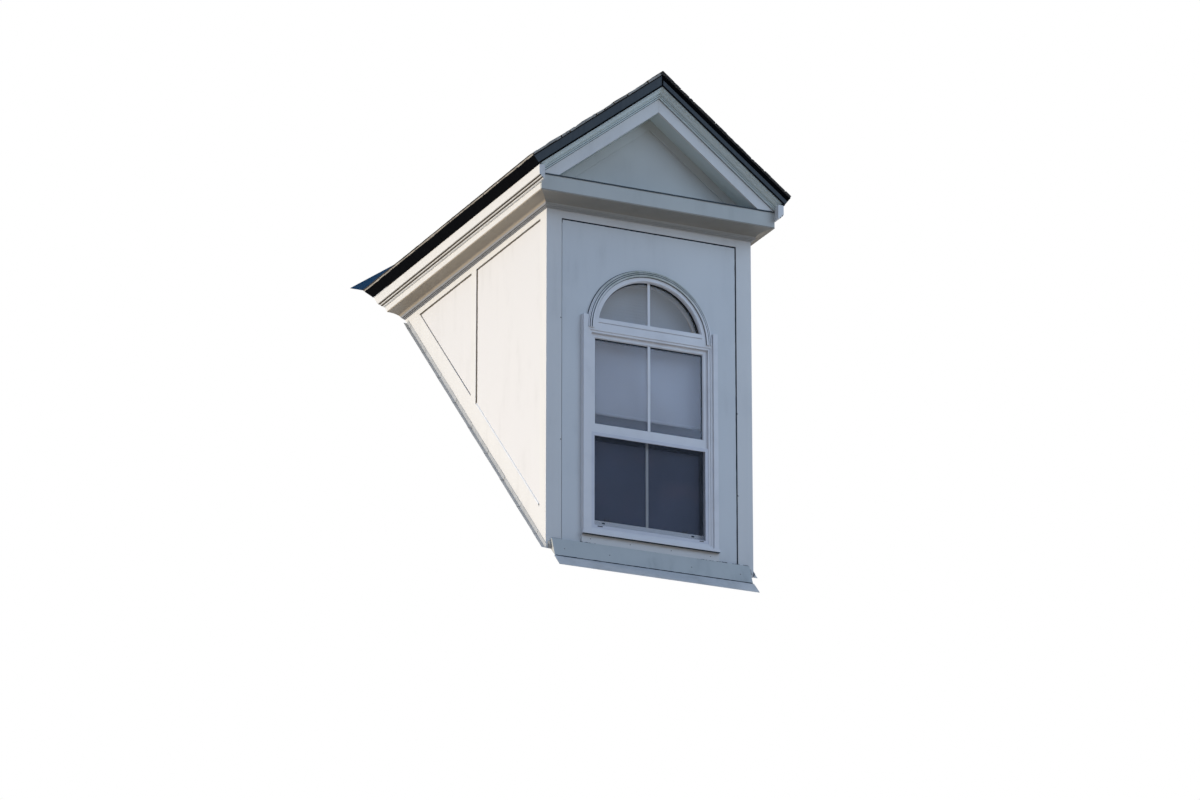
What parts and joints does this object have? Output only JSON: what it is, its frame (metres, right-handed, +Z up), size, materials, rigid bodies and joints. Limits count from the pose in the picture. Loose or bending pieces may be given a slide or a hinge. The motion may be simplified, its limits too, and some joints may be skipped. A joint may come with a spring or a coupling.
{
  "type": "gabled roof dormer with an arched window",
  "caption": "Gabled dormer with a closed pediment, panelled front and cheeks, an arched window over a double-hung window, shingle roof and valley flashing",
  "frame": {"origin": "on the underside of the curb, in the main roof's plane, midway along the foot of the front wall's outer face", "axes": "+X runs across the front to the right as seen from outside, +Y runs into the building, +Z is up"},
  "size_m": [1.978, 3.4807, 3.4154],
  "materials": {
    "wall_framing": "sheathed timber framing",
    "curb_timber": "sawn softwood",
    "panel_paint": "flat boards painted off-white",
    "trim_paint": "boards and mouldings painted off-white",
    "window_vinyl": "white window profile",
    "screen_metal": "white screen frame",
    "screen_mesh": "fine dark insect mesh",
    "window_glass": "double glazing",
    "blind_fabric": "plain pale blind",
    "roller_tube": "white painted tube",
    "skirt_paint": "board painted grey-blue",
    "flashing_metal": "pale painted flashing",
    "valley_metal": "steel-blue valley metal",
    "dark_metal": "dark slate metal edge",
    "shingles": "charcoal asphalt shingles with stone granules"
  },
  "bodies": {
    "root": {"front_wall": "wall_framing", "cheek_wall_left": "wall_framing", "cheek_wall_right": "wall_framing", "roof_curb": "curb_timber", "barge_rafters": "curb_timber", "ridge_board": "curb_timber", "rafters": "curb_timber", "roof_deck_left": "curb_timber", "roof_deck_right": "curb_timber", "front_panel": "panel_paint", "cheek_panels_left": "panel_paint", "cheek_panels_right": "panel_paint", "tympanum": "panel_paint", "corner_board_left": "trim_paint", "corner_board_right": "trim_paint", "front_frieze": "trim_paint", "cheek_boards_left": "trim_paint", "cheek_boards_right": "trim_paint", "sill_board": "trim_paint", "bed_moulding_front": "trim_paint", "bed_moulding_left": "trim_paint", "bed_moulding_right": "trim_paint", "base_board_front": "trim_paint", "base_board_left": "trim_paint", "base_board_right": "trim_paint", "cornice_shelf": "trim_paint", "eave_crown_left": "trim_paint", "eave_crown_right": "trim_paint", "tympanum_strip": "trim_paint", "rake_board_left": "trim_paint", "rake_board_right": "trim_paint", "rake_soffit_left": "trim_paint", "rake_soffit_right": "trim_paint", "rake_crown_left": "trim_paint", "rake_crown_right": "trim_paint", "window_frame": "window_vinyl", "upper_sash": "window_vinyl", "lower_sash": "window_vinyl", "arch_frame": "window_vinyl", "arch_moulding": "window_vinyl", "casing_left": "window_vinyl", "casing_right": "window_vinyl", "screen_frame": "screen_metal", "screen_mesh": "screen_mesh", "upper_glass": "window_glass", "lower_glass": "window_glass", "arch_glass": "window_glass", "roller_blind": "blind_fabric", "arch_shade": "blind_fabric", "blind_roller": "roller_tube", "skirt_board": "skirt_paint", "apron_flashing": "flashing_metal", "step_flashing_left": "flashing_metal", "step_flashing_right": "flashing_metal", "valley_flashing": "valley_metal", "metal_edge_left": "dark_metal", "metal_edge_right": "dark_metal", "roof_covering_left": "shingles", "roof_covering_right": "shingles", "ridge_cap": "shingles"}
  },
  "joints": []
}
